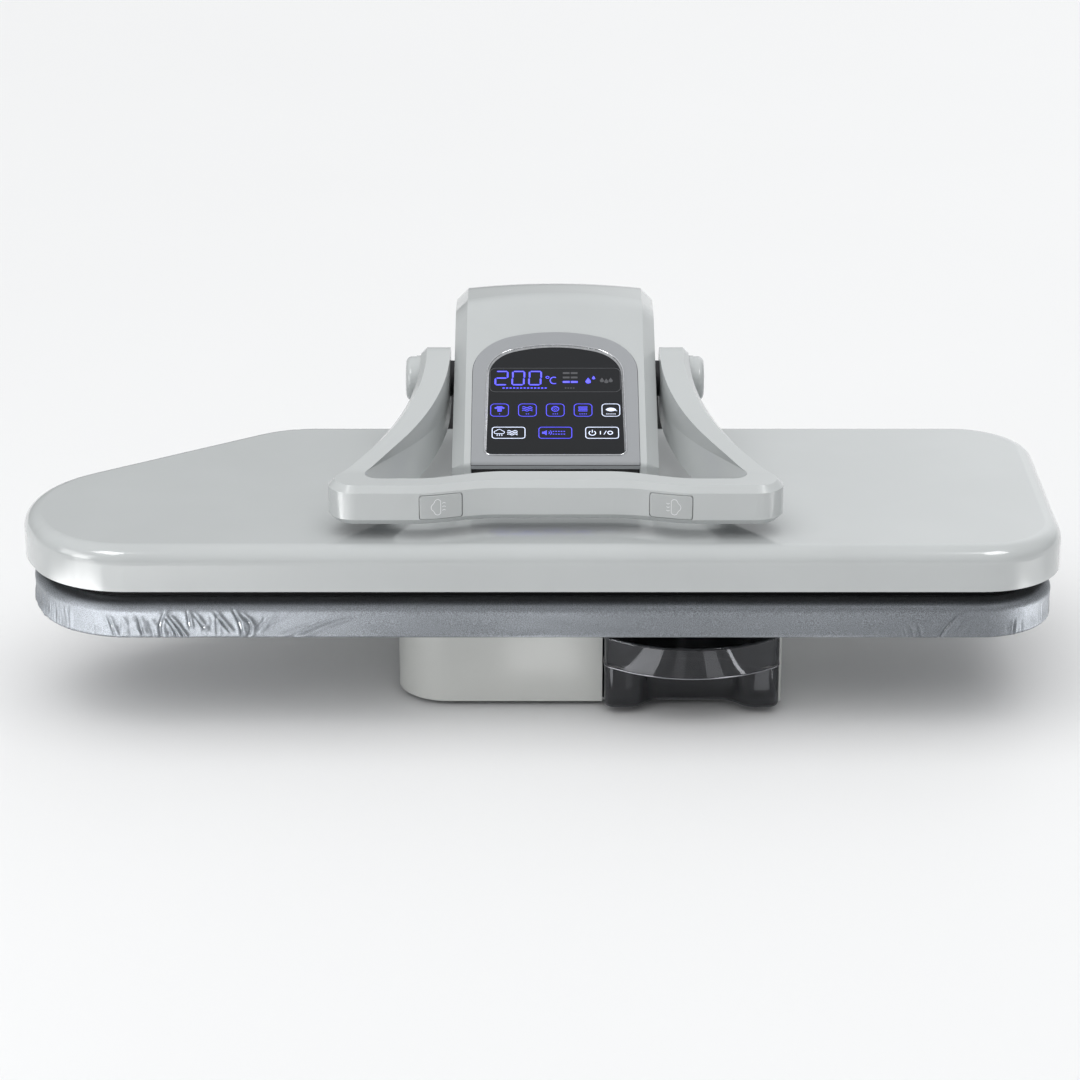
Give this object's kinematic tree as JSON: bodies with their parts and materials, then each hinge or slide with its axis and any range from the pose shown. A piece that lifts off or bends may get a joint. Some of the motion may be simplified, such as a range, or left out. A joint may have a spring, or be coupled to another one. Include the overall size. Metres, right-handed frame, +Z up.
{
  "type": "steam ironing press",
  "caption": "Table steam ironing press: padded board, heated head on a rear arm with a U handle and touch panel, pull-out water tank.",
  "frame": {"origin": "middle of the bounding box on the ground under the feet, press closed and handle down", "axes": "+X along the board away from its nose, +Y to the back, +Z up"},
  "size_m": [0.83, 0.42, 0.2696],
  "materials": {
    "white_shell": "satin",
    "grey_shell": "matt",
    "dark_shell": "matt",
    "chrome_trim": "bright",
    "bezel_grey": "satin",
    "display_dark": "gloss",
    "steel_sheet": "satin",
    "steel_screw": "bright",
    "cast_plate": "satin",
    "brass_bush": "satin",
    "rubber_dark": "matt",
    "silicone": "satin",
    "cloth": "matt",
    "foam": "matt",
    "tank_plastic": "satin",
    "circuit": "satin",
    "black_part": "matt"
  },
  "bodies": {
    "base": {"base_shell": "white_shell", "tank_bay": "white_shell", "hinge_tower": "white_shell", "base_plate": "steel_sheet", "rubber_feet": "rubber_dark", "base_screws": "steel_screw", "board_posts": "steel_sheet", "board_screws": "steel_screw", "hinge_cheek_left": "dark_shell", "hinge_cheek_right": "dark_shell", "hinge_bracket": "steel_sheet", "bracket_screws": "steel_screw", "hinge_axle": "steel_screw", "axle_clips": "steel_screw", "lift_springs": "steel_screw", "tank_dock": "black_part", "pump": "black_part", "pump_hose": "silicone", "power_board": "circuit", "cord_gland": "black_part", "board_tray": "steel_sheet", "board_pad": "foam", "board_cover": "cloth"},
    "water_tank": {"tank_body": "tank_plastic", "tank_lid": "tank_plastic", "tank_seal": "silicone", "tank_valve": "black_part", "scale_filter": "grey_shell"},
    "tank_cap": {"tank_cap": "white_shell"},
    "head": {"head_cover": "white_shell", "heat_shield": "dark_shell", "shield_screws": "steel_screw", "heating_plate": "cast_plate", "heating_element": "steel_screw", "steam_chamber": "cast_plate", "thermostat": "steel_screw", "plate_studs": "steel_screw", "water_hose": "silicone", "arm_frame": "steel_sheet", "frame_screws": "steel_screw", "hinge_bushes": "brass_bush", "arm_housing": "white_shell", "column_gasket": "rubber_dark", "arm_rear_cover": "white_shell", "rear_cover_screws": "steel_screw", "panel_bezel": "bezel_grey", "lens_trim": "chrome_trim", "display_lens": "display_dark", "display_board": "circuit", "pivot_spacers": "black_part"},
    "handle": {"handle_frame": "white_shell", "handle_underside": "grey_shell", "handle_shaft": "steel_screw", "shaft_screws": "steel_screw", "pivot_cap_left": "white_shell", "pivot_cap_right": "white_shell", "micro_switches": "black_part"},
    "left_button": {"steam_button_left": "white_shell"},
    "right_button": {"steam_button_right": "white_shell"}
  },
  "joints": [
    {"name": "head_lift", "type": "hinge", "parent": "base", "child": "head", "pos_m": [0.0125, 0.15, 0.128], "axis": [-1, 0, 0], "range_deg": [0, 38], "deforming": ["lift_springs"]},
    {"name": "handle_turn", "type": "hinge", "parent": "head", "child": "handle", "pos_m": [0.0125, 0.04, 0.216], "axis": [-1, 0, 0], "range_deg": [0, 36]},
    {"name": "tank_slide", "type": "slide", "parent": "base", "child": "water_tank", "axis": [0, -1, 0], "range_m": [0, 0.23]},
    {"name": "cap_turn", "type": "hinge", "parent": "water_tank", "child": "tank_cap", "pos_m": [0.12155, -0.16, 0.066], "axis": [0, 0, 1], "range_deg": [0, 90]},
    {"name": "left_button_press", "type": "slide", "parent": "handle", "child": "left_button", "axis": [0, 1, 0], "range_m": [0, 0.0025], "stiffness_N_per_m": 400},
    {"name": "right_button_press", "type": "slide", "parent": "handle", "child": "right_button", "axis": [0, 1, 0], "range_m": [0, 0.0025], "stiffness_N_per_m": 400}
  ]
}
